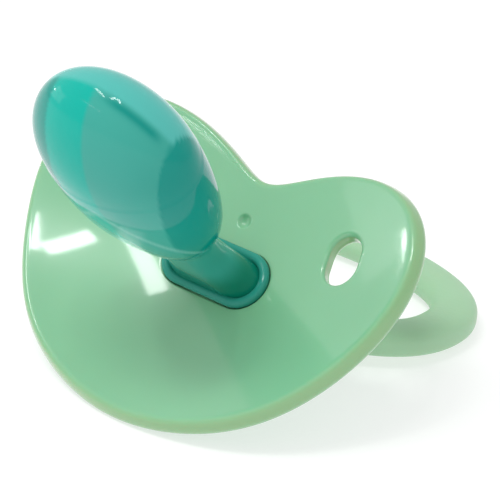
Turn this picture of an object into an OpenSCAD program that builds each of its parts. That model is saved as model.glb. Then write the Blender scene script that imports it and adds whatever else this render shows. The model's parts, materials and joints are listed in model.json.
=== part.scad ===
// Pacifier: a heart-shaped shield, a hollow orthodontic teat held in the shield's slot by a
// plug, a rear cap with the handle's bearing, and a ring handle that swings on two pins.
//
// Everything but the handle is built in the shield's own frame (X across the face, +Y away
// from the mouth, +Z towards the nose) and is then leaned back until it stands on its rim and
// on the cap's knuckle. The handle lies back on the same surface.

/* [Shield] */
// Half the width of the plain round outline, before the cosine waves below shape it
outline_mean = 18.55; // [17:0.05:21]
// Longer chin, shorter nose side
outline_drop = 1.95; // [1.5:0.05:3]
// Wider than it is tall
outline_widen = 4.25; // [3:0.05:5]
// Three lobes: the two cheeks and the chin, with the nose notch between the cheeks
outline_heart = 2.15; // [1:0.05:2.6]
// Squarer shoulders on the cheeks
outline_square = 0.5; // [0:0.05:0.6]
// Steeper sides of the nose notch
outline_notch = 0.22; // [0:0.02:0.6]
// Thickness of the shield's wall
wall = 2; // [1.8:0.1:2.5]
// How fast the bowl curves towards the mouth across the face, per millimetre
bowl_x = 0.0115; // [0.008:0.0005:0.013]
// How fast the bowl curves towards the mouth from chin to nose, per millimetre
bowl_z = 0.0146; // [0.008:0.0002:0.016]
// Width of each air vent
vent_w = 4.1; // [3:0.1:4.2]
// Height of each air vent
vent_h = 5; // [4.2:0.1:5.4]
// Distance of each air vent from the middle of the face
vent_x = 13.2; // [12.8:0.05:14]
// Height of the air vents above the middle of the face
vent_z = 5.2; // [4:0.1:6]

/* [Teat] */
// Length of the teat in front of the shield
teat_len = 31.2; // [28:0.1:34]
// Length of the bulb, from its tip to where the neck would cut it
bulb_len = 22.2; // [20:0.1:24]
// Where the bulb is widest, as a share of its length from the tip
bulb_wide = 0.39; // [0.35:0.01:0.5]
// Width of the bulb
bulb_w = 18.1; // [15:0.1:19]
// Thickness of the bulb
bulb_t = 10.8; // [9:0.1:12]
// Width of the flattened neck
neck_w = 10.8; // [9.6:0.1:11]
// Thickness of the flattened neck
neck_t = 4.2; // [4:0.1:4.6]
// Thickness of the silicone wall
skin = 1.1; // [0.9:0.05:1.2]
// Width of the collar that beads over the shield's slot
collar_w = 12.6; // [12.4:0.1:13]
// Height of that collar
collar_h = 6; // [5.9:0.1:6.4]

/* [Rear cap and handle] */
// Radius of the cap's knuckle, which the leaned shield stands on
knuckle_r = 2.7; // [2.4:0.1:3]
// Height of the hinge above the middle of the face
hinge_z = 0.7; // [0:0.1:1.4]
// Width of the knuckle
knuckle_w = 10; // [8:0.5:11]
// Radius of the handle's two hinge pins
pin_r = 1.4; // [1.2:0.05:1.5]
// Overall width of the ring handle
ring_w = 37.6; // [34:0.2:38]
// Reach of the ring handle from its hinge
ring_reach = 20.3; // [19:0.1:23]
// Width of the ring's band
band_w = 4.4; // [3.6:0.1:4.6]
// How much wider the band is at the ring's two sides
band_extra = 0.7; // [0:0.1:1]
// Thickness of the ring's band
band_t = 3; // [2.8:0.1:3.2]

/* [Stance] */
// How far the shield leans back from upright, in degrees
lean = 51.2; // [46:0.2:56]

/* [Hidden] */
$fn = 32;

mint = [0.53, 0.78, 0.62];
mint_grey = [0.62, 0.78, 0.65];
teal = [0.05, 0.66, 0.6];

gap = 0.05;             // room between pieces that are pushed together
spin = 96;              // points round the shield's outline
around = 40;            // points round one section of the teat
edge_reach = 1.1;       // how far the rounded edge runs in from the outline
edge_steps = 5;         // points on each half of the rounded edge
front_power = 4;        // squareness of the edge's front corner
back_power = 2.6;       // squareness of the edge's back corner
gate_r = 0.8;           // moulding gate dimple above the teat
gate_z = 5.6;
gate_sink = 0.45;       // how far the dimple's centre is in front, as a share of its radius
vent_tilt = 12;         // the vents' tops lean towards the middle
cut_reach = 8;          // how far a cutter runs past both faces
neck_drop = 0.075;      // slope of the teat's middle line where it leaves the shield
palate_rise = 0.0048;   // how fast that line then curves up towards the palate
neck_square = 0.7;      // squareness of the neck's section at the collar
collar_depth = 1.1;     // how far the collar stands in front of its seat
collar_round = 0.45;    // rounding of the collar's front edge
collar_lead = 0.8;      // from the collar's front to where the neck starts
sleeve_w = 11.5;        // the teat where it passes through the slot
sleeve_h = 4.9;
flange_w = 15.6;        // the teat's flange behind the shield
flange_h = 9;
flange_t = 0.9;
mouth_w = 8.6;          // the hollow where the plug enters
mouth_h = 2.3;
stem_len = 1;           // how far the plug reaches in front of the shield
seat_y = wall + gap;    // front face of the flange
plug_y = seat_y + flange_t + gap;
plug_t = 0.9;
plug_room = 0.2;        // room round the plug's plate, inside the boss
stem_room = 0.1;        // room round the plug's stem, inside the teat
lid_y = plug_y + plug_t + gap;
lid_t = 1.2;
lid_step = 0.5;         // step in the lid's edge
skirt_h = 1;            // the lid's skirt inside the boss
skirt_t = 0.6;
boss_l = 4.2;           // half the straight length of the boss and the cap
boss_r = 6.5;
boss_wall = 1;
pin_gap = 0.05;         // running clearance of the pins in the knuckle
pin_len = 2.4;
pin_end = 0.2;          // room at the pin's blind end
pin_root = 1;           // the pin's hidden start inside the handle's arm
side_gap = 0.25;        // from the knuckle's side to the handle's arm
band_round = 0.8;       // rounding of the band's edges
ring_power = 2.2;       // squareness of the ring: 2 is an ellipse
arm_run = 2;            // straight run of the handle's arm before its curve starts
ring_middle = 0.49;     // where the ring is widest, as a share of its reach

// ---- general shapes ----

function mix(a, b, t) = a + (b - a) * t;
function soft_max(a, b, k) = (a + b + sqrt((a - b) * (a - b) + k * k)) / 2;
function unit(v) = v / norm(v);

// A prism along +Y whose section is two half circles joined by straight sides.
module slot_bar(half_straight, r, from_y, to_y) {
    translate([0, from_y, 0])
        rotate([-90, 0, 0])
            linear_extrude(height = to_y - from_y) {
                square([2 * half_straight, 2 * r], center = true);
                for (side = [-1, 1])
                    translate([side * half_straight, 0])
                        circle(r = r);
            }
}

// Quads between rings of n points each, taken in order along a sweep.
function sweep_sides(rings, n) = [
    for (i = [0 : rings - 2], j = [0 : n - 1])
        let (k = (j + 1) % n)
            [i * n + j, i * n + k, (i + 1) * n + k, (i + 1) * n + j]
];

// Leans a point of the shield's frame back by the stance angle.
function leaned(p) = [
    p[0],
    p[1] * cos(lean) + p[2] * sin(lean),
    p[2] * cos(lean) - p[1] * sin(lean)
];

// ---- shield ----

function outline(t) = outline_mean - outline_drop * cos(t) - outline_widen * cos(2 * t)
    - outline_heart * cos(3 * t) - outline_square * cos(4 * t)
    + outline_notch * (cos(5 * t) + 0.8 * cos(6 * t));

// The middle of the wall, and its unit normal, which points away from the mouth.
function middle_y(x, z) = wall / 2 - bowl_x * x * x - bowl_z * z * z;
function middle_normal(x, z) = unit([2 * bowl_x * x, 1, 2 * bowl_z * z]);
function middle(r, t) = [r * sin(t), middle_y(r * sin(t), r * cos(t)), r * cos(t)];

// Outward direction in the wall at the outline.
function outward(r, t) =
    let (n = middle_normal(r * sin(t), r * cos(t)), radial = [sin(t), 0, cos(t)])
        unit(radial - (radial * n) * n);

// One point of the skin: side is -1 on the mouth side and 1 behind.
function skin_point(r, t, side) =
    middle(r, t) + side * wall / 2 * middle_normal(r * sin(t), r * cos(t));

// One point of the rounded edge: a runs from -90 at the front to 90 at the back.
function edge_point(t, a) =
    let (
        r = outline(t) - edge_reach,
        power = a < 0 ? front_power : back_power,
        out = edge_reach * pow(cos(a), 2 / power),
        up = wall / 2 * sign(a) * pow(abs(sin(a)), 2 / power)
    )
        middle(r, t) + out * outward(r, t) + up * middle_normal(r * sin(t), r * cos(t));

turns = [for (j = [0 : spin - 1]) -360 * j / spin];
function face_ring(f, side) =
    [for (t = turns) skin_point(f * (outline(t) - edge_reach), t, side)];

face_rings = [0.15, 0.32, 0.5, 0.68, 0.86];
edge_angles = [for (k = [-edge_steps : edge_steps]) 90 * k / edge_steps];
shield_rings = concat(
    [for (f = face_rings) face_ring(f, -1)],
    [for (a = edge_angles) [for (t = turns) edge_point(t, a)]],
    [for (i = [len(face_rings) - 1 : -1 : 0]) face_ring(face_rings[i], 1)]
);

module shield_plate() {
    rings = len(shield_rings);
    points = concat([for (ring = shield_rings) each ring], [[0, 0, 0], [0, wall, 0]]);
    front_pole = rings * spin;
    last = (rings - 1) * spin;
    polyhedron(points = points, faces = concat(
        sweep_sides(rings, spin),
        [for (j = [0 : spin - 1]) [front_pole, (j + 1) % spin, j]],
        [for (j = [0 : spin - 1]) [front_pole + 1, last + j, last + (j + 1) % spin]]
    ));
}

module vent() {
    rotate([0, 90, 0])
        slot_bar((vent_h - vent_w) / 2, vent_w / 2, -cut_reach, cut_reach);
}

module shield() {
    color(mint)
        difference() {
            union() {
                shield_plate();
                difference() {
                    slot_bar(boss_l, boss_r, wall / 4, lid_y - gap);
                    slot_bar(boss_l, boss_r - boss_wall, 0, lid_y);
                }
            }
            // slot for the teat, and the seat of its collar
            slot_bar((sleeve_w - sleeve_h) / 2, sleeve_h / 2 + gap, -cut_reach, cut_reach);
            slot_bar((collar_w - collar_h) / 2, collar_h / 2 + gap, -cut_reach, 0);
            // flat seat for the teat's flange
            slot_bar((flange_w - flange_h) / 2, flange_h / 2 + gap, wall, cut_reach);
            for (side = [-1, 1])
                translate([side * vent_x, 0, vent_z])
                    rotate([0, -side * vent_tilt, 0])
                        vent();
            translate([0, -bowl_z * gate_z * gate_z - gate_r * gate_sink, gate_z])
                sphere(r = gate_r, $fn = 24);
        }
}

// ---- teat ----

// The bulb's middle line first drops below the neck and then rises towards the palate.
function axis_z(y) = y >= 0 ? 0 : neck_drop * y + palate_rise * y * y;
wide_run = bulb_len * bulb_wide;
function bulb_share(y) =
    let (run = y + teat_len - wide_run, u = run / (run < 0 ? wide_run : bulb_len - wide_run))
        sqrt(max(0, 1 - u * u));
function half_w(y, off) = soft_max(bulb_w / 2 * bulb_share(y) - off, neck_w / 2 - off, 1.2);
function half_t(y, off) = soft_max(bulb_t / 2 * bulb_share(y) - off, neck_t / 2 - off, 0.9);

// A section across the teat: square is 0 for an ellipse and 1 for straight sides with round ends.
function section(y, w, h, square) = [
    for (j = [0 : around - 1])
        let (t = 360 * (j + 0.5) / around)
            [(w - h) * mix(cos(t), sign(cos(t)), square) + h * cos(t), y, axis_z(y) + h * sin(t)]
];

// Stations from the tip to the neck, closer together at the tip.
tip_turns = [for (a = [14 : 12 : 86]) a];
function tip_y(a, off) = -teat_len + off + (wide_run - off) * (1 - cos(a));
function tip_section(a, off) =
    section(tip_y(a, off), (bulb_w / 2 - off) * sin(a), (bulb_t / 2 - off) * sin(a), 0);
back_steps = [for (k = [0 : 12]) k / 12];
function back_y(k) = mix(-teat_len + wide_run, -collar_depth - collar_lead, k);
function body_section(k, off) =
    let (y = back_y(k)) section(y, half_w(y, off), half_t(y, off), k * neck_square);

outer_rings = concat(
    [for (a = tip_turns) tip_section(a, 0)],
    [for (k = back_steps) body_section(k, 0)],
    [
        section(-collar_depth, collar_w / 2 - collar_round, collar_h / 2 - collar_round, 1),
        section(-collar_depth / 2, collar_w / 2, collar_h / 2, 1),
        section(-gap, collar_w / 2 - collar_round, collar_h / 2 - collar_round, 1),
        section(-gap, sleeve_w / 2, sleeve_h / 2, 1),
        section(seat_y, sleeve_w / 2, sleeve_h / 2, 1),
        section(seat_y, flange_w / 2, flange_h / 2, 1),
        section(seat_y + flange_t, flange_w / 2, flange_h / 2, 1)
    ]
);
inner_rings = concat(
    [section(seat_y + flange_t, mouth_w / 2, mouth_h / 2, 1),
     section(-collar_depth, mouth_w / 2, mouth_h / 2, 1)],
    [for (k = [len(back_steps) - 1 : -1 : 0]) body_section(back_steps[k], skin)],
    [for (i = [len(tip_turns) - 1 : -1 : 0]) tip_section(tip_turns[i], skin)]
);
teat_rings = concat(outer_rings, inner_rings);

module teat() {
    rings = len(teat_rings);
    tip = [0, -teat_len, axis_z(-teat_len)];
    inner_tip = [0, -teat_len + skin, axis_z(-teat_len + skin)];
    points = concat([for (ring = teat_rings) each ring], [tip, inner_tip]);
    last = (rings - 1) * around;
    color(teal)
        polyhedron(points = points, faces = concat(
            sweep_sides(rings, around),
            [for (j = [0 : around - 1]) [rings * around, (j + 1) % around, j]],
            [for (j = [0 : around - 1])
                [rings * around + 1, last + j, last + (j + 1) % around]]
        ));
}

module teat_plug() {
    stem_r = mouth_h / 2 - stem_room;
    color(mint) {
        slot_bar((mouth_w - mouth_h) / 2, stem_r, -stem_len, plug_y + plug_t / 2);
        slot_bar((flange_w - flange_h) / 2, flange_h / 2 - plug_room, plug_y, plug_y + plug_t);
    }
}

// ---- rear cap ----

// The block under the lid's back that carries the round knuckle.
module knuckle() {
    block_y = lid_y + lid_t / 2;
    block_h = 1.6 * knuckle_r;
    translate([-knuckle_w / 2, block_y, hinge_z - block_h / 2])
        cube([knuckle_w, hinge_y - block_y, block_h]);
    translate([-knuckle_w / 2, hinge_y, hinge_z])
        rotate([0, 90, 0])
            cylinder(r = knuckle_r, h = knuckle_w);
}

// The skirt that snaps inside the shield's boss.
module skirt() {
    skirt_r = boss_r - boss_wall - gap;
    difference() {
        slot_bar(boss_l, skirt_r, lid_y - skirt_h, lid_y + lid_t / 4);
        slot_bar(boss_l, skirt_r - skirt_t, lid_y - cut_reach, lid_y);
    }
}

module rear_cap() {
    color(mint)
        difference() {
            union() {
                slot_bar(boss_l, boss_r, lid_y, lid_y + lid_t / 2);
                slot_bar(boss_l, boss_r - lid_step, lid_y, lid_y + lid_t);
                knuckle();
                skirt();
            }
            for (side = [-1, 1])
                translate([side * (knuckle_w / 2 + pin_root), hinge_y, hinge_z])
                    rotate([0, -side * 90, 0])
                        cylinder(r = pin_r + pin_gap, h = pin_root + pin_len + pin_end);
        }
}

// ---- ring handle, in its own plane: hinge along X, reach along Y ----

// The band's section: u runs outwards in the ring's plane and w across its thickness.
band_points = [
    for (corner = [0 : 3], k = [0 : 3])
        let (
            a = 90 * corner + 30 * k,
            u = (corner == 0 || corner == 3 ? 1 : -1) * (band_w / 2 - band_round),
            w = (corner < 2 ? 1 : -1) * (band_t / 2 - band_round)
        )
            [u + band_round * cos(a), w + band_round * sin(a)]
];

// Stations along the right half of the ring: [x, y, direction that the band's outside faces].
// The band's middle runs along a superellipse, from the knuckle's side to the far end.
arm_x = knuckle_w / 2 + side_gap;
ring_a = ring_w / 2 - band_w / 2;
wide_y = ring_reach * ring_middle;
function ring_b(t) = t < 0 ? wide_y : ring_reach - band_w / 2 - wide_y;
function bent(v, power) = sign(v) * pow(abs(v), power);
function ring_station(t) = [
    ring_a * bent(cos(t), 2 / ring_power),
    wide_y + ring_b(t) * bent(sin(t), 2 / ring_power),
    atan2(bent(sin(t), 2 - 2 / ring_power) / ring_b(t), bent(cos(t), 2 - 2 / ring_power) / ring_a)
];
arm_turn = -acos(pow((arm_x + arm_run) / ring_a, ring_power / 2));
right_path = concat(
    [[arm_x, 0, -90]],
    [for (k = [0 : 20]) ring_station(mix(arm_turn, 90, k / 20))]
);
left_path = [
    for (i = [len(right_path) - 2 : -1 : 0])
        [-right_path[i][0], right_path[i][1], 180 - right_path[i][2]]
];
ring_path = concat(right_path, left_path);

module ring_band() {
    n = len(band_points);
    last = (len(ring_path) - 1) * n;
    polyhedron(
        points = [
            for (s = ring_path, p = band_points)
                let (u = p[0] < 0 ? p[0] - band_extra * pow(cos(s[2]), 2) : p[0])
                    [s[0] + u * cos(s[2]), s[1] + u * sin(s[2]), p[1]]
        ],
        faces = concat(
            sweep_sides(len(ring_path), n),
            [[for (j = [n - 1 : -1 : 0]) j], [for (j = [0 : n - 1]) last + j]]
        )
    );
}

module ring_pin() {
    translate([arm_x + pin_root, 0, 0])
        rotate([0, -90, 0])
            cylinder(r = pin_r, h = pin_root + side_gap + pin_len);
}

module ring_handle() {
    color(mint_grey)
        translate([0, hinge_back - centre_y, knuckle_r])
            rotate([-ring_drop, 0, 0]) {
                ring_band();
                ring_pin();
                mirror([1, 0, 0])
                    ring_pin();
            }
}

// ---- stance: the shield's back corner, the knuckle and the ring's end touch the surface ----

rim_low = min([for (ring = shield_rings, p = ring) leaned(p)[2]]);
hinge_y = (hinge_z * cos(lean) - rim_low - knuckle_r) / sin(lean);
hinge_back = leaned([0, hinge_y, hinge_z])[1];
rest_y = ring_reach - band_round;
ring_drop = asin(knuckle_r / norm([rest_y, band_t / 2])) - atan(band_t / 2 / rest_y);
front_end = min([for (ring = outer_rings, p = ring) leaned(p)[1]]);
back_end = hinge_back + (ring_reach - band_round) * cos(ring_drop) + band_round;
centre_y = (front_end + back_end) / 2;

module stand() {
    translate([0, -centre_y, -rim_low])
        rotate([-lean, 0, 0])
            children();
}

stand() shield();
stand() teat();
stand() teat_plug();
stand() rear_cap();
ring_handle();
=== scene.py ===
"""The looks of the pacifier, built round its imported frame.

Every piece is a closed surface worked out with numpy from a few driving sizes: the shield, the
hollow teat, its plug, the rear cap and the ring handle. Sizes are in millimetres in the shield's
own frame (X across the face, +Y away from the mouth, +Z towards the nose). place() leans that
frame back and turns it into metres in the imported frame.
"""
import json
import math

import bpy
import numpy as np
from mathutils import Matrix, Vector


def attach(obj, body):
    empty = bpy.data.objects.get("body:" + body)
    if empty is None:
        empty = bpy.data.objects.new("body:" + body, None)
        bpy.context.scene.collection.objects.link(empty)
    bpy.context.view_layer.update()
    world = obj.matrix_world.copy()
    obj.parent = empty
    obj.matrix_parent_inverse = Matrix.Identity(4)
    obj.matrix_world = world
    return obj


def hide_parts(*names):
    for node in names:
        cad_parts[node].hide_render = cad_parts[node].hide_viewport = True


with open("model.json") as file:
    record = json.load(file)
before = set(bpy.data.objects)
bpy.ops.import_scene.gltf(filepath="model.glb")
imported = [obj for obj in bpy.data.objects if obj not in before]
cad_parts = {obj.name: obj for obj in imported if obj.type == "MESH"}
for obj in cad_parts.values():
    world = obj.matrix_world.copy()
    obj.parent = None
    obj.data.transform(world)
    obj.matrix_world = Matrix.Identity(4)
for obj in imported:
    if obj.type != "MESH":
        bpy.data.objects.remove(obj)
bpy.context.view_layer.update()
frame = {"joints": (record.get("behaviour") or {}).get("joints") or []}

MM = 0.001
MIRROR_X = np.array([-1, 1, 1])

# ---- Shield sizes ----
OUTLINE_WAVES = (18.55, -1.95, -4.25, -2.15, -0.5, 0.22, 0.176)  # cosine waves of the radius
WALL = 2.0
BOWL_X, BOWL_Z = 0.0115, 0.0146  # how fast the bowl curves towards the mouth
EDGE_REACH = 1.1
FRONT_POWER, BACK_POWER = 4.0, 2.6  # squareness of the rim's two corners
VENT_SIZE = (3.8, 4.9)
VENT_AT = (13.2, 5.2)
VENT_TILT = math.radians(12)
FRONT_LIP, BACK_LIP = 0.5, 0.85
GATE_AT, GATE_R, GATE_SINK = 5.6, 0.8, 0.36
GATE_SOFT, GATE_EDGE = 0.1, 0.0069  # the edge's softness, and about what it adds outside
SEAT_FILLET, SLOT_CHAMFER, SLOT_LAND = 0.1, 0.1, 0.35
FLOOR_INSET = 0.01  # from the boss's inner wall to the floor's first row
BOSS_FILLET, BOSS_ROUND, BOSS_INNER_ROUND = 0.5, 0.25, 0.15

# ---- Teat sizes ----
TEAT_LEN, BULB_LEN, BULB_WIDE = 31.2, 23.6, 0.367
BULB_W, BULB_T = 18.0, 10.8
NECK_HALF_W, NECK_HALF_H = (3.7, 5.5), (1.9, 2.25)  # at the bulb and at the collar
FLARE_START, ROOT_Y, FLARE_POWER = -6.2, -0.5, 1.5
NECK_BLEND_W, NECK_BLEND_H = 0.9, 0.7  # how softly the bulb melts into the neck
NECK_SQUARE = 0.7  # how far the neck's section has gone from an ellipse towards a stadium
NECK_DROP, PALATE_RISE = 0.075, 0.0048
SKIN = 1.1
COLLAR_W, COLLAR_H, COLLAR_DEPTH = 12.6, 6.0, 1.1
BEAD_R = 0.5
THROAT_Y = -1.9  # where the hollow's neck ends and the plug's mouth begins
SLEEVE_W, SLEEVE_H = 11.5, 4.9
FLANGE_W, FLANGE_H, FLANGE_T = 15.6, 9.0, 0.9
FLANGE_ROUND = 0.15
OUTER_ROWS, INNER_ROWS = (34, 120), (26, 60)
MOUTH_W, MOUTH_H = 8.6, 2.3
GAP = 0.05

# ---- Teat tints, mostly painted light and shade: places in millimetres, where a tint comes or goes between those of a pair ----
BULB_END = (-13.0, -9.0)
# painted shade at the teat's root, and the share of it on the collar's bead
ROOT_SHADE_FROM, BEAD_SHADE = (-5.0, -2.2), 0.45
# painted light band on the bulb's top, above the middle line
LIT_CROWN_EDGE = (0.1, 0.8)
# painted shade on the bulb's sides: the near (+x) side's edge, where it ends along y, and the far
# (-x) side's edge
SHADE_EDGE_AT, SHADE_EDGE_SLOPE, SHADE_EDGE_STEP = 2.65, -0.19, 0.25  # the edge of the near side's painted shade runs inwards with y
SHADE_END = (-9.5, -8.0)
FAR_SHADE_EDGE = (3.5, 3.8)
# a dark line along the middle line on the bulb's +x side
DARK_LINE_AT, DARK_LINE_WIDE = -0.1, 0.4
DARK_LINE_START, DARK_LINE_END = (1.0, 4.0), (6.6, 7.6)
# painted glow over the bulb from its middle to the -x side
GLOW_EDGE = (0.9, 1.4)
REFLECTION_ACROSS, REFLECTION_ALONG, REFLECTION_DOWN, REFLECTION_AT = -0.32, 0.487, -0.813, 6.2  # the plane of the painted reflection line under the bulb
REFLECTION_WIDE, REFLECTION_TINT, REFLECTION_EDGE = 0.24, 0.55, (0.6, 1.6)

# ---- Plug, cap and handle sizes ----
PLUG_T, STEM_LEN = 0.9, 1.0
STEM_ROOM = 0.1
STEM_TIP = ((0.5, 0.0), (0.2, 0.0), (0.05, 0.08), (0.0, 0.25))  # in from its wall, up from its end
PLATE_ROOM, PLATE_ROUND, PLATE_BEVEL = 0.2, 0.2, 0.15
LID_T, LID_ROUND, LID_FLAT, LID_ROOM = 1.2, 0.9, 2.0, 0.05
SKIRT_T, SKIRT_H = 0.6, 1.0
BOSS_HALF, BOSS_R, BOSS_WALL = 4.2, 6.5, 1.0
KNUCKLE_R, KNUCKLE_W, HINGE_Z = 2.7, 10.0, 0.7
KNUCKLE_ROUND, BORE_CHAMFER, KNUCKLE_SINK = 0.5, 0.15, 0.35
HEAD_TURN = 0.62 * math.pi  # half the turn that the knuckle's round head takes
FLANK_SHARE, FLANK_FLARE = 0.8, 1.5
PIN_R, PIN_GAP, PIN_LEN, PIN_END = 1.4, 0.05, 2.4, 0.2
RING_W, RING_REACH = 37.6, 20.3
BAND_W, BAND_T, BAND_EXTRA = 4.4, 3.0, 0.7
BAND_ROUND = 0.8
PIN_ROUND, PIN_BEVEL, PIN_FLARE, ARM_ROUND = 0.3, 0.08, 0.1, 0.5
RING_POWER, RING_MIDDLE = 2.2, 0.49
SIDE_GAP, ARM_RUN = 0.25, 2.0

SEAT_Y = WALL + GAP
PLUG_Y = SEAT_Y + FLANGE_T + GAP
LID_Y = PLUG_Y + PLUG_T + GAP
LEAN = math.radians(51.2)


# ---- General shapes ----

def mix(a, b, t):
    """The value a share t of the way from a to b."""
    return a + (b - a) * t


def soft_max(a, b, k):
    """The larger of a and b, rounded over where they are within k of each other."""
    return (a + b + np.sqrt((a - b) ** 2 + k * k)) / 2


def bent(v, power):
    """The signed power of v, as a superellipse uses it."""
    return np.sign(v) * np.abs(v) ** power


def steps(count):
    """Shares from 0 to 1, both ends included."""
    return np.linspace(0, 1, count)


def outline(t):
    """Radius of the shield's outline in direction t from +Z towards +X: a sum of cosine waves."""
    return sum(wave * np.cos(k * t) for k, wave in enumerate(OUTLINE_WAVES))


def stadium_reach(t, half, r):
    """Distance from a stadium's middle to its edge in direction t, where its straight sides are
    2 * half long and its ends have radius r: the flat side where the ray meets it, else the end."""
    across, up = np.abs(np.sin(t)), np.abs(np.cos(t))
    flat = r / np.maximum(up, 1e-9)
    end = half * across + np.sqrt(np.maximum(r * r - (half * up) ** 2, 0))
    return np.where(flat * across <= half, flat, end)


def bowl_normal(x, z):
    """Unit normal of the middle sheet y = WALL/2 - BOWL_X x^2 - BOWL_Z z^2, away from the mouth."""
    n = np.stack([2 * BOWL_X * x, np.ones_like(x), 2 * BOWL_Z * z], -1)
    return n / np.linalg.norm(n, axis=-1, keepdims=True)


def middle(x, z):
    """The point of the middle sheet over (x, z)."""
    return np.stack([x, WALL / 2 - BOWL_X * x * x - BOWL_Z * z * z, z], -1)


def gate_depth(x, z):
    """Depth of the round gate mark: a sphere's cap sunk into the skin, its edge softened."""
    d2 = x * x + (z - GATE_AT) ** 2
    cap = np.sqrt(np.maximum(GATE_R ** 2 - d2, 0)) - GATE_SINK
    return np.where(d2 < 4 * GATE_R ** 2, soft_max(cap, 0, GATE_SOFT) - GATE_EDGE, 0)


def skin(x, z, side):
    """The skin over (x, z): half a wall from the middle sheet along its normal, found by moving
    the foot of the normal until the skin's own point lies over (x, z). side is -1 in front."""
    foot_x, foot_z = x, z
    for _ in range(4):
        n = bowl_normal(foot_x, foot_z)
        foot_x = x - side * WALL / 2 * n[..., 0]
        foot_z = z - side * WALL / 2 * n[..., 2]
    y = middle(foot_x, foot_z)[..., 1] + side * WALL / 2 * n[..., 1]
    if side < 0:
        y = y + gate_depth(x, z)
    return np.stack([x, y, z], -1)


def lifted(points, y):
    """The same points with y added to their second coordinate."""
    return points + y * np.array([0.0, 1.0, 0.0])


# ---- Placing: the shield's frame and the handle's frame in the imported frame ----

def lean_back(p):
    """Turns points of the shield's frame about X by the lean."""
    c, s = math.cos(LEAN), math.sin(LEAN)
    return np.stack([p[..., 0], p[..., 1] * c + p[..., 2] * s, p[..., 2] * c - p[..., 1] * s], -1)


def edge_ring(t, a):
    """The rim at turn a of its rounded edge, from -90 degrees in front to 90 behind: a
    superellipse whose long axis lies in the wall and whose short axis is half the wall."""
    r = outline(t) - EDGE_REACH
    x, z = r * np.sin(t), r * np.cos(t)
    n = bowl_normal(x, z)
    radial = np.stack([np.sin(t), np.zeros_like(t), np.cos(t)], -1)
    outward = radial - (radial * n).sum(-1, keepdims=True) * n
    outward /= np.linalg.norm(outward, axis=-1, keepdims=True)
    power = FRONT_POWER if a < 0 else BACK_POWER
    out = EDGE_REACH * abs(math.cos(a)) ** (2 / power)
    up = WALL / 2 * math.copysign(abs(math.sin(a)) ** (2 / power), a)
    return middle(x, z) + out * outward + up * n


EDGE_TURNS = np.radians(np.sin(np.linspace(-np.pi / 2, np.pi / 2, 27)) * 90)
TURN_COUNT = 360
TURNS = 2 * np.pi * np.arange(TURN_COUNT) / TURN_COUNT
EDGE_RINGS = np.array([edge_ring(TURNS, a) for a in EDGE_TURNS])

HINGE = np.array(frame["joints"][0]["pos_m"]) / MM
RIM_LOW = lean_back(EDGE_RINGS)[..., 2].min()
HINGE_Y = (HINGE_Z * math.cos(LEAN) - RIM_LOW - KNUCKLE_R) / math.sin(LEAN)
HINGE_LEANED = lean_back(np.array([0, HINGE_Y, HINGE_Z]))
ORIGIN = np.array([0, HINGE[1] - HINGE_LEANED[1], -RIM_LOW])
RING_REST = RING_REACH - BAND_ROUND
RING_DROP = (math.asin(KNUCKLE_R / math.hypot(RING_REST, BAND_T / 2))
             - math.atan(BAND_T / 2 / RING_REST))


def place(p):
    """Millimetres in the shield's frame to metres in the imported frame."""
    return (lean_back(p) + ORIGIN) * MM


def place_ring(p):
    """Millimetres in the handle's own frame, hinge along X and reach along Y, to metres."""
    c, s = math.cos(RING_DROP), math.sin(RING_DROP)
    turned = np.stack([p[..., 0], p[..., 1] * c + p[..., 2] * s, p[..., 2] * c - p[..., 1] * s], -1)
    return (turned + HINGE) * MM


# ---- Meshes ----

def bridge(ring_a, ring_b):
    """Quads between two closed rings of vertex numbers, or rows of rings."""
    next_a, next_b = np.roll(ring_a, -1, -1), np.roll(ring_b, -1, -1)
    return np.stack([ring_a, next_a, next_b, ring_b], -1).reshape(-1, 4)


def loft(rings):
    """A closed surface through rings of points, one behind the other, with a pole in the middle
    of the first and the last ring. Returns its points and faces."""
    count, n = rings.shape[:2]
    points = np.concatenate([rings.reshape(-1, 3), rings[[0, -1]].mean(1)])
    numbers = np.arange(count * n).reshape(count, n)
    first = np.stack([np.full(n, count * n), np.roll(numbers[0], -1), numbers[0]], -1)
    last = np.stack([np.full(n, count * n + 1), numbers[-1], np.roll(numbers[-1], -1)], -1)
    return points, [bridge(numbers[:-1], numbers[1:]), first, last]


def signed_volume(points, faces):
    """Volume inside the faces by the sum of their corner products, negative if inside out."""
    total = 0.0
    for group in faces:
        a, b = points[group[:, 0]], points[group[:, 1:-1]]
        c = points[group[:, 2:]]
        total += np.einsum("ij,ikj->", a, np.cross(b, c))
    return total / 6


def make_piece(name, shells, body, node, material, attributes=None):
    """Makes one mesh piece from closed shells of (points in metres, face groups), turned so that
    their faces point outwards, and lets it ride on its body in place of its CAD node."""
    points, faces, start = [], [], 0
    for shell_points, groups in shells:
        inside_out = signed_volume(shell_points - shell_points.mean(0), groups) < 0
        for group in groups:
            faces += ((group[:, ::-1] if inside_out else group) + start).tolist()
        points.append(shell_points)
        start += len(shell_points)
    mesh = bpy.data.meshes.new(name)
    mesh.from_pydata(np.concatenate(points).tolist(), [], faces)
    mesh.polygons.foreach_set("use_smooth", np.ones(len(faces), bool))
    for key, values in (attributes or {}).items():
        layer = mesh.attributes.new(key, "FLOAT", "POINT")
        layer.data.foreach_set("value", values.astype(np.float32))
    mesh.materials.append(material)
    mesh.update()
    piece = bpy.data.objects.new(name, mesh)
    bpy.context.scene.collection.objects.link(piece)
    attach(piece, body)
    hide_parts(node)
    return piece


# ---- Shader maths ----

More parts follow.
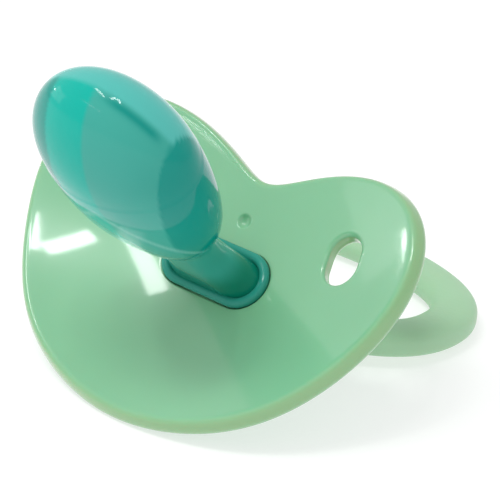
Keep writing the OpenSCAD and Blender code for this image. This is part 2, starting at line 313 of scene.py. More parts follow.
class Value:
    """A number that varies over a surface. Arithmetic on it adds Math nodes to its material."""

    def __init__(self, paint, socket):
        self.paint, self.socket = paint, socket

    def _math(self, operation, first, second):
        return self.paint.value("ShaderNodeMath", {"operation": operation}, {0: first, 1: second})

    def __add__(self, other):
        return self._math("ADD", self, other)

    def __mul__(self, other):
        return self._math("MULTIPLY", self, other)

    __radd__ = __add__
    __rmul__ = __mul__

    def between(self, low, high):
        """0 at low and 1 at high, held at both ends, with a smooth step between them."""
        return self.paint.value("ShaderNodeMapRange", {"interpolation_type": "SMOOTHSTEP"},
                                {"Value": self, "From Min": low, "From Max": high})


class Paint:
    """One material and the only method that adds nodes to it."""

    def __init__(self, name, uniform):
        self.material = bpy.data.materials.new(name)
        self.material.use_nodes = True
        self.tree = self.material.node_tree
        self.tree.nodes.clear()
        self.shader = self.node("ShaderNodeBsdfPrincipled", {}, uniform)
        self.node("ShaderNodeOutputMaterial", {}, {"Surface": self.shader.outputs[0]})

    def node(self, kind, settings, inputs):
        """Adds a node of that type: its settings first, then the values or links of its inputs."""
        made = self.tree.nodes.new(kind)
        for key, setting in settings.items():
            setattr(made, key, setting)
        for key, given in inputs.items():
            link = given.socket if isinstance(given, Value) else given
            if isinstance(link, bpy.types.NodeSocket):
                self.tree.links.new(link, made.inputs[key])
            else:
                made.inputs[key].default_value = link
        return made

    def value(self, kind, settings, inputs, output=0):
        return Value(self, self.node(kind, settings, inputs).outputs[output])

    def place(self):
        return self.node("ShaderNodeTexCoord", {}, {}).outputs["Object"]

    def noise(self, scale, detail=3.0):
        """Soft noise from 0 to 1 with that many waves a metre."""
        return self.value("ShaderNodeTexNoise", {}, {"Vector": self.place(), "Scale": scale,
                                                     "Detail": detail})

    def attribute(self, name):
        return self.value("ShaderNodeAttribute", {"attribute_name": name}, {}, "Fac")

    def blend(self, first, second, share):
        """A colour between first and second. Each is four numbers or another blend."""
        made = self.node("ShaderNodeMix", {"data_type": "RGBA"}, {0: share, 6: first, 7: second})
        return made.outputs[2]

    def finish(self, colour, roughness, height, bump):
        """Joins the varying colour, roughness and height to the shader."""
        normal = self.node("ShaderNodeBump", {}, {"Height": height, "Strength": bump,
                                                  "Distance": 0.0002})
        for key, given in (("Base Color", colour), ("Roughness", roughness),
                           ("Normal", normal.outputs[0])):
            self.tree.links.new(getattr(given, "socket", given), self.shader.inputs[key])
        return self.material


def shield_plastic():
    """Glossy mint plastic: cloudy by a few per cent, with a painted yellower glow on the rim and
    inside the vents that stands in for light through the thin walls and bounce from the floor, and
    the faint ripple of a polished mould."""
    paint = Paint("shield_plastic", {"IOR": 1.5, "Coat Weight": 0.9, "Coat Roughness": 0.07,
                                     "Coat IOR": 1.5, "Subsurface Weight": 0.12,
                                     "Subsurface Scale": 0.003})
    cloud = paint.noise(70.0, 2.0).between(0.35, 0.65)
    face = paint.blend((0.198, 0.505, 0.278, 1), (0.214, 0.525, 0.295, 1), cloud)
    # painted glow: the rim and the vents' walls are tinted yellower where light would shine through
    # them and bounce onto them
    colour = paint.blend(face, (0.235, 0.460, 0.205, 1), paint.attribute("wall"))
    roughness = 0.26 + 0.06 * paint.noise(240.0)
    return paint.finish(colour, roughness, paint.noise(160.0, 1.0), 0.06)


def ring_plastic():
    """Satin mint plastic, a little greyer than the shield, with a fine spark-eroded grain."""
    paint = Paint("ring_plastic", {"IOR": 1.5, "Subsurface Weight": 0.08,
                                   "Subsurface Scale": 0.003})
    cloud = paint.noise(90.0, 2.0).between(0.35, 0.65)
    colour = paint.blend((0.355, 0.590, 0.372, 1), (0.380, 0.620, 0.398, 1), cloud)
    roughness = 0.36 + 0.10 * paint.noise(600.0)
    return paint.finish(colour, roughness, paint.noise(2600.0), 0.10)


def cap_plastic():
    """The shield's plastic with the finish of a welded cap: smooth, a touch duller."""
    paint = Paint("cap_plastic", {"IOR": 1.5, "Coat Weight": 0.2, "Coat Roughness": 0.08})
    cloud = paint.noise(90.0, 2.0).between(0.35, 0.65)
    colour = paint.blend((0.245, 0.530, 0.320, 1), (0.270, 0.556, 0.345, 1), cloud)
    roughness = 0.20 + 0.08 * paint.noise(400.0)
    return paint.finish(colour, roughness, paint.noise(1500.0), 0.08)


def plug_plastic():
    """Plain moulded plastic, as it is inside the teat."""
    paint = Paint("plug_plastic", {"IOR": 1.5})
    cloud = paint.noise(120.0, 2.0).between(0.35, 0.65)
    colour = paint.blend((0.190, 0.470, 0.290, 1), (0.215, 0.500, 0.315, 1), cloud)
    roughness = 0.34 + 0.08 * paint.noise(500.0)
    return paint.finish(colour, roughness, paint.noise(1500.0), 0.08)


def teat_silicone():
    """Clear teal silicone, with light and shade painted into its colour: painted shade makes the
    bulb's sides deep teal, a painted glow and a painted light band make the middle and the top
    paler, a dark line runs along the middle line, a painted reflection line runs under the bulb,
    and painted shade darkens the root, where the shield is behind it, and the bead."""
    paint = Paint("teat_silicone", {"IOR": 1.41, "Transmission Weight": 0.24,
                                    "Specular IOR Level": 0.20, "Coat Weight": 0.12,
                                    "Coat Roughness": 0.02})
    cloud = paint.noise(60.0, 2.0).between(0.3, 0.7)
    colour = paint.blend((0.045, 0.440, 0.360, 1), (0.065, 0.480, 0.400, 1), cloud)
    # in this order: a painted glow, a painted light band on top, painted shade on the sides, a dark
    # line, a painted reflection line and painted shade at the root
    for zone, tint in (("painted_glow", (0.002, 0.530, 0.430, 1)), ("lit_crown", (0.110, 0.590, 0.530, 1)),
                       ("side", (0.000, 0.350, 0.290, 1)), ("dark_line", (0.000, 0.330, 0.275, 1)),
                       ("reflection_line", (0.300, 0.700, 0.640, 1)), ("root", (0.003, 0.270, 0.175, 1))):
        colour = paint.blend(colour, tint, paint.attribute(zone))
    roughness = 0.05 + 0.05 * paint.noise(300.0)
    return paint.finish(colour, roughness, paint.noise(200.0, 1.0), 0.04)


# ---- Shield: one closed profile carried round the face, with a tube through it at each vent ----

FRONT_ROWS, BACK_ROWS, FLOOR_ROWS = 64, 52, 8
VENT_COLUMNS = (52, 85)  # the grid's window at a vent: its turns, and its rows on each skin
VENT_FRONT_ROWS = (16, 47)
VENT_BACK_ROWS = (18, 49)
FRONT_APRON, LIP_ROWS, BACK_APRON = 12, 8, 8  # rows of a vent's tube
WALL_SHARES = (0.25, 0.5, 0.75)


def ray_points(reach):
    """(x, z) at that reach along every turn."""
    return reach * np.sin(TURNS), reach * np.cos(TURNS)


def skin_rows(inner, outer, shares, side):
    """Rows of skin between two rings of points, straight along each turn as seen from in front."""
    x = mix(inner[:, 0], outer[:, 0], shares[:, None])
    z = mix(inner[:, 2], outer[:, 2], shares[:, None])
    return skin(x, z, side)


def fillet_rows(half, r, size, side, count):
    """Rows round a concave or convex corner where the skin meets a stadium's wall: an arc from
    size outside the wall, along the skin, to size up the wall."""
    rows = []
    for a in np.linspace(0, math.pi / 2, count):
        x, z = ray_points(stadium_reach(TURNS, half, r) + size * (1 - math.sin(a)))
        rows.append(lifted(skin(x, z, side), size * (1 - math.cos(a))))
    return np.array(rows)


def wall_rows(half, places):
    """Rows on a stadium's walls at each (radius, y)."""
    rows = []
    for r, y in places:
        x, z = ray_points(stadium_reach(TURNS, half, r))
        rows.append(np.stack([x, np.full_like(x, y), z], -1))
    return np.array(rows)


def rounded_top(r, top, size, inwards, count):
    """(radius, y) places round a convex corner from a wall at radius r to the flat at top, which
    lies inside the wall if inwards is 1, and outside it if that is -1."""
    a = np.linspace(0, math.pi / 2, count)
    return list(zip(r - inwards * size * (1 - np.cos(a)), top - size * (1 - np.sin(a))))


def shield_profile():
    """All rows of the shield's closed profile, from the collar's seat round to the seat again."""
    seat_half, seat_r = (COLLAR_W - COLLAR_H) / 2, COLLAR_H / 2 + GAP
    slot_r = SLEEVE_H / 2 + GAP
    top, inner_r = LID_Y - GAP, BOSS_R - BOSS_WALL
    seat_fillet = fillet_rows(seat_half, seat_r, SEAT_FILLET, -1, 5)
    front = skin_rows(seat_fillet[0], EDGE_RINGS[0], steps(FRONT_ROWS), -1)
    base_fillet = fillet_rows(BOSS_HALF, BOSS_R, BOSS_FILLET, 1, 7)
    back = skin_rows(EDGE_RINGS[-1], base_fillet[0], steps(BACK_ROWS), 1)
    boss = wall_rows(BOSS_HALF, rounded_top(BOSS_R, top, BOSS_ROUND, 1, 6)
                     + rounded_top(inner_r, top, BOSS_INNER_ROUND, -1, 5)[::-1])
    floor = skin_rows(fillet_rows(BOSS_HALF, inner_r - FLOOR_INSET, 0, 1, 1)[0],
                      fillet_rows(seat_half, slot_r + SLOT_CHAMFER, 0, 1, 1)[0],
                      steps(FLOOR_ROWS), 1)
    slot = wall_rows(seat_half, [(slot_r, WALL - SLOT_LAND), (slot_r, WALL / 2),
                                 (slot_r, SLOT_CHAMFER), (slot_r + SLOT_CHAMFER, 0.0),
                                 (seat_r - GAP, 0.0)])
    return np.concatenate([front, EDGE_RINGS[1:-1], back, base_fillet[1:], boss, floor, slot,
                           seat_fillet[:0:-1]])


def vent_ring(angle, side, offset):
    """(x, z) of the vent's outline, widened by offset, in each direction about its middle."""
    half = (VENT_SIZE[1] - VENT_SIZE[0]) / 2
    reach = stadium_reach(angle + math.pi / 2, half, VENT_SIZE[0] / 2 + offset)
    tilt = -side * VENT_TILT
    return (side * VENT_AT[0] + reach * np.sin(angle + tilt),
            VENT_AT[1] + reach * np.cos(angle + tilt))


def window(numbers, rows, columns):
    """Vertex numbers round a window of the grid: the row nearest the middle, the far column, the
    outer row back, and the near column back."""
    inner, outer = rows
    near, far = columns
    step = 1 if outer > inner else -1
    side = np.arange(inner, outer, step)
    return np.concatenate([numbers[inner, near:far], numbers[side, far],
                           numbers[outer, far:near:-1], numbers[side + step, near][::-1]])


def vent_tube(points, front_ring, back_ring, side):
    """Rings of points from the front skin's window, over the rounded lip, through the wall and
    out to the back skin's window. Each keeps its direction about the vent's middle."""
    middle_x, middle_z = side * VENT_AT[0], VENT_AT[1]

    def direction(ring):
        return np.arctan2(points[ring, 0] - middle_x, points[ring, 2] - middle_z) + side * VENT_TILT

    def apron(ring, angle, lip, shares, skin_side):
        x0, z0 = points[ring, 0], points[ring, 2]
        x1, z1 = vent_ring(angle, side, lip)
        return [skin(mix(x0, x1, s), mix(z0, z1, s), skin_side) for s in shares]

    front_angle, back_angle = direction(front_ring), direction(back_ring)
    rings = apron(front_ring, front_angle, FRONT_LIP, steps(FRONT_APRON + 1)[1:], -1)
    lip_turns = math.pi / 2 * steps(LIP_ROWS + 1)[1:]
    for a in lip_turns:
        x, z = vent_ring(front_angle, side, FRONT_LIP * (1 - math.sin(a)))
        rings.append(lifted(skin(x, z, -1), FRONT_LIP * (1 - math.cos(a))))
    far = []
    for a in lip_turns:
        x, z = vent_ring(back_angle, side, BACK_LIP * (1 - math.sin(a)))
        far.append(lifted(skin(x, z, 1), -BACK_LIP * (1 - math.cos(a))))
    walls = [mix(rings[-1], far[-1], s) for s in WALL_SHARES]
    tail = apron(back_ring, back_angle, BACK_LIP, steps(BACK_APRON + 1)[1:], 1)
    return np.array(rings + walls + far[::-1] + tail[::-1])


def make_shield(material):
    """The shield's grid of rows and turns, with a window cut on both skins at each vent and a
    tube between the two. Its wall attribute, the share of the painted yellower glow, is 1 on the
    rim and inside the vents."""
    grid = shield_profile()
    count = grid.shape[0]
    numbers = np.arange(count * TURN_COUNT).reshape(count, TURN_COUNT)
    points = grid.reshape(-1, 3)
    wall = np.zeros(len(points))
    rim = np.cos(EDGE_TURNS)[1:-1]
    # the rim's painted glow, strongest at the outermost point of its edge
    wall[numbers[FRONT_ROWS:FRONT_ROWS + len(rim)]] = rim[:, None] ** 2
    kept = np.ones((count, TURN_COUNT), bool)
    back_start = FRONT_ROWS + len(EDGE_TURNS) - 2
    front_rows = VENT_FRONT_ROWS
    back_rows = tuple(back_start + row for row in VENT_BACK_ROWS[::-1])
    faces = []
    all_points, all_wall, start = [points], [wall], len(points)
    for side in (1, -1):
        near, far = VENT_COLUMNS
        columns = (near, far) if side > 0 else (TURN_COUNT - far, TURN_COUNT - near)
        front_ring = window(numbers, front_rows, columns)
        back_ring = window(numbers, back_rows, columns)
        kept[front_rows[0]:front_rows[1], columns[0]:columns[1]] = False
        kept[back_rows[1]:back_rows[0], columns[0]:columns[1]] = False
        tube = vent_tube(points, front_ring, back_ring, side)
        tube_numbers = start + np.arange(tube.shape[0] * tube.shape[1]).reshape(tube.shape[:2])
        rings = np.concatenate([front_ring[None], tube_numbers, back_ring[None]])
        faces.append(bridge(rings[:-1], rings[1:]))
        # painted glow inside each vent's throat
        vent_glow = np.zeros(tube.shape[:2])
        throat = FRONT_APRON + LIP_ROWS
        vent_glow[throat - 2:throat + LIP_ROWS - 2] = 1.0
        all_points.append(tube.reshape(-1, 3))
        all_wall.append(vent_glow.ravel())
        start += tube.shape[0] * tube.shape[1]
    quads = bridge(numbers, np.roll(numbers, -1, 0)).reshape(count, TURN_COUNT, 4)
    faces.append(quads[kept])
    shell = (place(np.concatenate(all_points)), faces)
    return make_piece("mouth_shield", [shell], "mouthpiece", "shield", material,
                      {"wall": np.concatenate(all_wall)})


# ---- Teat, plug and cap: stadium and ellipse sections carried along Y ----

ARC_POINTS, FLAT_POINTS = 64, 24
ARC = np.radians(np.linspace(-90, 90, ARC_POINTS, endpoint=False))
FLAT = np.linspace(1, -1, FLAT_POINTS, endpoint=False)
QUARTER = np.full(FLAT_POINTS, math.pi / 2)
END_ANGLE = np.concatenate([ARC, QUARTER, ARC + math.pi, QUARTER + math.pi])
END_SHIFT = np.concatenate([np.ones(ARC_POINTS), FLAT, -np.ones(ARC_POINTS), -FLAT])
ROUND_SHARE = 75 / 90  # the share of a quarter turn that an end of the ellipse takes
ROUND_ANGLE = np.concatenate([
    ARC * ROUND_SHARE, math.pi / 2 - FLAT * math.pi / 2 * (1 - ROUND_SHARE),
    ARC * ROUND_SHARE + math.pi, 1.5 * math.pi - FLAT * math.pi / 2 * (1 - ROUND_SHARE)])


def axis_z(y):
    """Height of the teat's middle line: it drops below the neck and rises towards the palate."""
    y = np.minimum(y, 0)
    return NECK_DROP * y + PALATE_RISE * y * y


def section(y, w, h, square=1.0):
    """A section across Y, with half width w and half height h: an ellipse at square 0, a stadium
    at square 1, and their mean by points between. w, h, y and square may be arrays of stations."""
    y, w, h, square = np.broadcast_arrays(*[np.atleast_1d(v)[:, None] for v in (y, w, h, square)])
    x = mix(w * np.cos(ROUND_ANGLE), (w - h) * END_SHIFT + h * np.cos(END_ANGLE), square)
    z = mix(h * np.sin(ROUND_ANGLE), h * np.sin(END_ANGLE), square)
    return np.stack([x, np.broadcast_to(y, x.shape), z], -1)


def neck_half(y, sizes):
    """Half size of the neck, which flares in a hollow curve from the bulb to the collar."""
    share = np.clip((y - FLARE_START) / (ROOT_Y - FLARE_START), 0, 1)
    return mix(sizes[0], sizes[1], share ** FLARE_POWER)


def bulb_rings(off, tip_count, body_count, end_y):
    """Sections of the bulb and neck, off millimetres inside the outer skin: a quarter ellipse at
    the tip, then a half-ellipse share of the bulb that melts into the flat neck."""
    wide = BULB_LEN * BULB_WIDE
    a = np.linspace(0, math.pi / 2, tip_count + 1)[1:]
    tip_y = -TEAT_LEN + off + (wide - off) * (1 - np.cos(a))
    tip = section(tip_y, (BULB_W / 2 - off) * np.sin(a), (BULB_T / 2 - off) * np.sin(a), 0)
    k = steps(body_count + 1)[1:]
    y = mix(-TEAT_LEN + wide, end_y, k)
    u = (y + TEAT_LEN - wide) / (BULB_LEN - wide)
    share = np.sqrt(np.maximum(1 - u * u, 0))
    w = soft_max(BULB_W / 2 * share - off, neck_half(y, NECK_HALF_W) - off, NECK_BLEND_W)
    h = soft_max(BULB_T / 2 * share - off, neck_half(y, NECK_HALF_H) - off, NECK_BLEND_H)
    rings = np.concatenate([tip, section(y, w, h, NECK_SQUARE * k)])
    rings[..., 2] += axis_z(rings[..., 1])
    return rings


def smooth_step(v, low, high):
    """0 below low and 1 above high, with a cubic step between them."""
    t = np.clip((v - low) / (high - low), 0, 1)
    return t * t * (3 - 2 * t)


def teat_zones(rings, bulb_count, bead_count):
    """Shares of the teat's tints at every point of its rings and its two poles: painted shade on
    both sides of the bulb, a painted light band above the middle line, a dark line along it on the
    +x side, a painted glow from the middle to the -x side, a painted reflection line under the
    bulb, which is a plane's cut, and painted shade at the root and on the bead. The lines are bell
    curves of a distance."""
    x, y, z = np.moveaxis(rings, -1, 0)
    above = z - axis_z(y)
    on_bulb = 1 - smooth_step(y, *BULB_END)
    # painted light band on the bulb's top
    lit_crown = smooth_step(above, *LIT_CROWN_EDGE) * on_bulb
    # painted shade on both sides of the bulb
    shade_edge = SHADE_EDGE_AT + SHADE_EDGE_SLOPE * y
    near_shade = smooth_step(x, shade_edge, shade_edge + SHADE_EDGE_STEP) * (1 - smooth_step(y, *SHADE_END))
    far_shade = smooth_step(-x, *FAR_SHADE_EDGE) * on_bulb * (1 - lit_crown)
    # a dark line along the middle line on the +x side
    dark_line = np.exp(-((above - DARK_LINE_AT) / DARK_LINE_WIDE) ** 2) * on_bulb
    dark_line *= smooth_step(x, *DARK_LINE_START) * (1 - smooth_step(x, *DARK_LINE_END))
    # painted reflection: a pale line under the bulb, cut by a plane
    from_reflection_line = REFLECTION_ALONG * y + REFLECTION_ACROSS * np.abs(x) + REFLECTION_DOWN * z + REFLECTION_AT
    reflection_line = REFLECTION_TINT * np.exp(-(from_reflection_line / REFLECTION_WIDE) ** 2) * on_bulb
    reflection_line *= smooth_step(-above, *REFLECTION_EDGE)
    # painted shade at the root, and on the bead
    root = smooth_step(y, *ROOT_SHADE_FROM)
    root[bulb_count:bulb_count + bead_count] = BEAD_SHADE
    zones = {"side": near_shade + far_shade, "lit_crown": lit_crown, "dark_line": dark_line,
             # first on this line: the painted glow from the bulb's middle to its -x side
             "painted_glow": (1 - smooth_step(x, *GLOW_EDGE)) * on_bulb, "reflection_line": reflection_line, "root": root}
    return {key: np.concatenate([share.ravel(), [share[0].mean(), share[-1].mean()]])
            for key, share in zones.items()}


def make_teat(material):
    """The hollow teat: bulb and neck, the round bead of the collar, the sleeve through the
    shield, the flange behind it, and the hollow back up to the tip."""
    outer = bulb_rings(0, *OUTER_ROWS, ROOT_Y)
    b = np.linspace(math.pi, 0, 15)
    bead_w, bead_h = COLLAR_W / 2 - BEAD_R, COLLAR_H / 2 - BEAD_R
    bead = section(-COLLAR_DEPTH + BEAD_R * (1 - np.sin(b)), bead_w + BEAD_R * np.cos(b),
                   bead_h + BEAD_R * np.cos(b))
    flange_top = SEAT_Y + FLANGE_T
    stations = [(-GAP / 2, COLLAR_W / 2 - GAP, COLLAR_H / 2 - GAP),
                (-GAP / 2, SLEEVE_W / 2, SLEEVE_H / 2),
                (SEAT_Y, SLEEVE_W / 2, SLEEVE_H / 2),
                (SEAT_Y, FLANGE_W / 2 - FLANGE_ROUND, FLANGE_H / 2 - FLANGE_ROUND),
                (SEAT_Y + FLANGE_ROUND, FLANGE_W / 2, FLANGE_H / 2),
                (flange_top - FLANGE_ROUND, FLANGE_W / 2, FLANGE_H / 2),
                (flange_top, FLANGE_W / 2 - FLANGE_ROUND, FLANGE_H / 2 - FLANGE_ROUND),
                (flange_top, MOUTH_W / 2, MOUTH_H / 2),
                (-COLLAR_DEPTH, MOUTH_W / 2, MOUTH_H / 2)]
    back = section(*np.array(stations).T)
    inner = bulb_rings(SKIN, *INNER_ROWS, THROAT_Y)[::-1]
    rings = np.concatenate([outer, bead, back, inner])
    return make_piece("silicone_teat", [loft(place(rings))], "mouthpiece", "teat",
                      material, teat_zones(rings, len(outer), len(bead)))


def lathe_rows(half, places):
    """Stadium sections at each (radius, y), all with the same straight sides."""
    r, y = np.array(places).T
    return section(y, half + r, r)


def make_plug(material):
    """The plug: a flat stem that fills the teat's mouth, and the plate that holds the flange."""
    stem_half, stem_r = (MOUTH_W - MOUTH_H) / 2, MOUTH_H / 2 - STEM_ROOM
    plate_half, plate_r = (FLANGE_W - FLANGE_H) / 2, FLANGE_H / 2 - PLATE_ROOM
    stem = lathe_rows(stem_half, [(stem_r - inwards, upwards - STEM_LEN)
                                  for inwards, upwards in STEM_TIP] + [(stem_r, PLUG_Y - GAP)])
    top = PLUG_Y + PLUG_T
    plate = lathe_rows(plate_half, [(plate_r - PLATE_ROUND, PLUG_Y),
                                    (plate_r, PLUG_Y + PLATE_BEVEL),
                                    (plate_r, top - PLATE_ROUND), (plate_r - PLATE_ROUND, top),
                                    (plate_r - 1, top)])
    return make_piece("teat_stopper", [loft(place(np.concatenate([stem, plate])))], "mouthpiece",
                      "teat_plug", material)


def keyhole(count, shrink):
    """The knuckle's outline in the YZ plane, shrunk by that much: a round head about the hinge,
    with straight flanks that flare in a hollow curve to the lid."""
    r = KNUCKLE_R - shrink
    head = np.linspace(-HEAD_TURN, HEAD_TURN, count // 2)
    y, z = HINGE_Y + r * np.cos(head), HINGE_Z + r * np.sin(head)
    root_y = LID_Y + LID_T - KNUCKLE_SINK
    k = steps(count // 4 + 1)[1:]
    flare = mix(abs(z[-1] - HINGE_Z), FLANK_SHARE * KNUCKLE_R - shrink, k) + FLANK_FLARE * k ** 4
    flank_y = mix(y[-1], root_y, k)
    return np.concatenate([np.stack([y, z], -1),
                           np.stack([flank_y, HINGE_Z + flare], -1),
                           np.stack([flank_y, HINGE_Z - flare], -1)[::-1]])


def make_cap(material):
    """The rear cap: a stadium lid with a rounded edge, and the knuckle with its two blind
    bearings. Each is a closed surface, and the knuckle's root is sunk in the lid."""
    top = LID_Y + LID_T
    skirt_r = BOSS_R - BOSS_WALL - LID_ROOM
    lid = [(skirt_r - SKIRT_T, LID_Y), (skirt_r - SKIRT_T, LID_Y - SKIRT_H),
           (skirt_r, LID_Y - SKIRT_H), (skirt_r, LID_Y), (BOSS_R - 2 * LID_ROOM, LID_Y)]
    lid += rounded_top(BOSS_R, top, LID_ROUND, 1, 12) + [(BOSS_R - LID_FLAT, top)]
    count = 96
    turn = np.linspace(-HEAD_TURN, 2 * math.pi - HEAD_TURN, count, endpoint=False)

    def bore(x, r):
        circle = np.stack([HINGE_Y + r * np.cos(turn), HINGE_Z + r * np.sin(turn)], -1)
        return np.concatenate([np.full((count, 1), x), circle], 1)

    def outside(x, shrink):
        return np.concatenate([np.full((count, 1), x), keyhole(count, shrink)], 1)

    half, bore_r, bottom = KNUCKLE_W / 2, PIN_R + PIN_GAP, KNUCKLE_W / 2 - PIN_LEN - PIN_END
    right = [bore(bottom, bore_r), bore(half - BORE_CHAMFER, bore_r),
             bore(half, bore_r + BORE_CHAMFER)]
    right += [outside(half - KNUCKLE_ROUND * (1 - math.cos(a)), KNUCKLE_ROUND * (1 - math.sin(a)))
              for a in np.linspace(0, math.pi / 2, 7)]
    left = [ring * MIRROR_X for ring in right[::-1]]
    knuckle = np.array(right + left)
    shells = [loft(place(lathe_rows(BOSS_HALF, lid))), loft(place(knuckle))]
    return make_piece("hinge_cap", shells, "mouthpiece", "rear_cap", material)


# ---- Ring handle: a soft-cornered band carried along a superellipse, pins at both ends ----

BAND_COUNT = 48
BAND_TURNS = 2 * np.pi * np.arange(BAND_COUNT) / BAND_COUNT
BAND_POWERS = np.where(np.cos(BAND_TURNS) < 0, 2.1, 2.9)  # rounder on the finger side


def ring_path():
    """Stations along the right half: (x, y, direction that the band's outside faces). A smooth
    run leads from the knuckle's side to a superellipse that ends at the far middle."""
    a = RING_W / 2 - BAND_W / 2
    wide_y = RING_REACH * RING_MIDDLE
    arm_x = KNUCKLE_W / 2 + SIDE_GAP
    first = -math.acos(((arm_x + ARM_RUN) / a) ** (RING_POWER / 2))
    t = np.linspace(first, math.pi / 2, 110)
    b = np.where(t < 0, wide_y, RING_REACH - BAND_W / 2 - wide_y)
    share, slope = 2 / RING_POWER, 2 - 2 / RING_POWER
    x = a * bent(np.cos(t), share)
    y = wide_y + b * bent(np.sin(t), share)
    facing = np.arctan2(bent(np.sin(t), slope) / b, bent(np.cos(t), slope) / a)
    k = steps(14)[:-1]
    run = np.stack([mix(arm_x, x[0], k), y[0] * k * k * (2 - k),
                    mix(-math.pi / 2, facing[0], k * k * (3 - 2 * k))], -1)
    return np.concatenate([run, np.stack([x, y, facing], -1)])


def band_ring(station, shrink=0.0):
    """The band's section at a station: a superellipse, wider inwards at the ring's sides."""
    x, y, facing = station
    u = (BAND_W / 2 - shrink) * bent(np.cos(BAND_TURNS), 2 / BAND_POWERS)
    w = (BAND_T / 2 - shrink) * bent(np.sin(BAND_TURNS), 2 / BAND_POWERS)
    inwards = np.clip(-u / (BAND_W / 2), 0, 1)
    u = u - BAND_EXTRA * math.cos(facing) ** 2 * inwards
    return np.stack([x + u * math.cos(facing), y + u * math.sin(facing), w], -1)


def pin_ring(x, r):
    """A circle about the hinge axis, numbered the way the band's first section is."""
    return np.stack([np.full(BAND_COUNT, x), -r * np.cos(BAND_TURNS), r * np.sin(BAND_TURNS)], -1)


def make_ring(material):
    """The handle as one closed surface, from one blind pin's tip round to the other's."""
    path = ring_path()
    arm_x = path[0, 0]
    tip_x = arm_x - SIDE_GAP - PIN_LEN
    start = [pin_ring(tip_x, PIN_R - PIN_ROUND), pin_ring(tip_x + PIN_BEVEL, PIN_R - PIN_BEVEL),
             pin_ring(tip_x + PIN_ROUND, PIN_R), pin_ring(arm_x - PIN_FLARE, PIN_R),
             pin_ring(arm_x, PIN_R + PIN_FLARE)]
    for a in np.linspace(0, math.pi / 2, 6):
        x = arm_x + ARM_ROUND * (1 - math.cos(a))
        start.append(band_ring((x, 0, -math.pi / 2), ARM_ROUND * (1 - math.sin(a))))
    body = [band_ring(s) for s in path if s[0] > arm_x + ARM_ROUND or s[1] > 1]
    half = np.array(start + body)
    other = half[-2::-1] * MIRROR_X
    rings = np.concatenate([half, other])
    return make_piece("swing_ring", [loft(place_ring(rings))], "handle", "ring_handle",
                      material)


# ---- Studio ----

VIEW_AZIMUTH, VIEW_ELEVATION, VIEW_ROLL = (math.radians(v) for v in (40.34, 30.17, 0.68))
VIEW_DISTANCE = 0.18995
LENS, SENSOR = 139.72, 36.0
SHIFT = (0.0658, 0.0414)

# Each light's azimuth from the front and elevation in degrees, distance and (width, height) in
# metres, power in watts, and roll in degrees.
WINDOWS = {
    "left_window": (15, 75, 0.5, (0.030, 0.090), 0.19, 19),
    "middle_window": (-10, 73, 0.5, (0.030, 0.090), 0.19, -14),
    "right_window": (-44, 63, 0.5, (0.160, 0.038), 0.27, 0),
    "front_strip": (-26, 31, 0.6, (0.26, 0.004), 0.04, 0),
    "side_strip": (-84.5, 11, 0.6, (0.095, 0.003), 0.035, 0),
    "side_glow": (-72, 12, 0.7, (0.30, 0.16), 0.13, 0),
}
DIFFUSERS = {
    "overhead_key": (-22, 68, 0.5, (0.12, 0.12), 0.37, 0),
    "front_fill": (-50, 30, 0.7, (0.4, 0.4), 0.35, 0),
}
ROOM_LIGHT = 0.74
FLOOR_HALF, FLOOR_GREY, FLOOR_GLOW = 1.5, 0.45, 0.6


def direction(azimuth, elevation):
    """Unit vector towards a place that lies azimuth from the front and elevation above it."""
    return Vector((math.sin(azimuth) * math.cos(elevation),
                   -math.cos(azimuth) * math.cos(elevation), math.sin(elevation)))


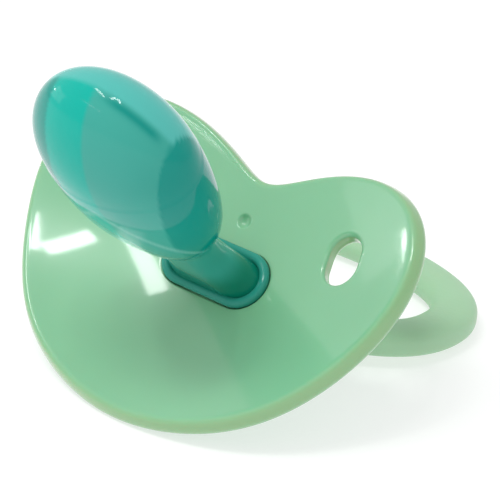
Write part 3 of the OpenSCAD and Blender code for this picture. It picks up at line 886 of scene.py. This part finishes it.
def make_camera():
    """A long lens on a slight roll, aimed past the teat's root from the front right."""
    back = direction(VIEW_AZIMUTH, VIEW_ELEVATION)
    right = Vector((math.cos(VIEW_AZIMUTH), math.sin(VIEW_AZIMUTH), 0))
    up = back.cross(right)
    c, s = math.cos(VIEW_ROLL), math.sin(VIEW_ROLL)
    right, up = right * c + up * s, up * c - right * s
    camera = bpy.data.objects.new("camera", bpy.data.cameras.new("camera"))
    camera.data.lens, camera.data.sensor_width = LENS, SENSOR
    camera.data.shift_x, camera.data.shift_y = SHIFT
    camera.data.clip_start = 0.01
    turn = Matrix((right, up, back)).transposed().to_4x4()
    camera.matrix_world = Matrix.Translation(Vector(ORIGIN * MM) + back * VIEW_DISTANCE) @ turn
    bpy.context.scene.collection.objects.link(camera)
    bpy.context.scene.camera = camera


def make_light(name, azimuth, elevation, distance, size, power, roll, glossy):
    """A rectangular softbox that faces the teat's root from that direction. One that isn't glossy
    lights the object without being mirrored in it."""
    data = bpy.data.lights.new(name, "AREA")
    data.shape, data.energy = "RECTANGLE", power
    data.size, data.size_y = size
    light = bpy.data.objects.new(name, data)
    towards = direction(math.radians(azimuth), math.radians(elevation))
    target = Vector(ORIGIN * MM)
    turn = towards.to_track_quat("Z", "Y").to_matrix().to_4x4()
    light.matrix_world = (Matrix.Translation(target + towards * distance) @ turn
                          @ Matrix.Rotation(math.radians(roll), 4, "Z"))
    light.visible_glossy = glossy
    bpy.context.scene.collection.objects.link(light)


def make_floor():
    """A wide pale sheet that glows a little, so that shadows on it stay faint."""
    half = FLOOR_HALF
    mesh = bpy.data.meshes.new("floor")
    mesh.from_pydata([(-half, -half, 0), (half, -half, 0), (half, half, 0), (-half, half, 0)], [],
                     [(0, 1, 2, 3)])
    floor = bpy.data.objects.new("floor", mesh)
    bpy.context.scene.collection.objects.link(floor)
    paint = Paint("floor_paper", {"Base Color": (FLOOR_GREY, FLOOR_GREY, FLOOR_GREY, 1),
                                  "Roughness": 0.9, "Specular IOR Level": 0.0,
                                  "Emission Strength": FLOOR_GLOW,
                                  "Emission Color": (1, 1, 1, 1)})
    mesh.materials.append(paint.material)


def make_studio():
    """A white room with softboxes: some to be mirrored in the gloss, some only to light it."""
    world = bpy.data.worlds.new("white_room")
    world.use_nodes = True
    background = world.node_tree.nodes["Background"]
    background.inputs["Color"].default_value = (1, 1, 1, 1)
    background.inputs["Strength"].default_value = ROOM_LIGHT
    bpy.context.scene.world = world
    bpy.context.scene.view_settings.view_transform = "Standard"
    for lights, glossy in ((WINDOWS, True), (DIFFUSERS, False)):
        for name, settings in lights.items():
            make_light(name, *settings, glossy)


make_shield(shield_plastic())
make_teat(teat_silicone())
make_plug(plug_plastic())
make_cap(cap_plastic())
make_ring(ring_plastic())
make_floor()
make_studio()
make_camera()
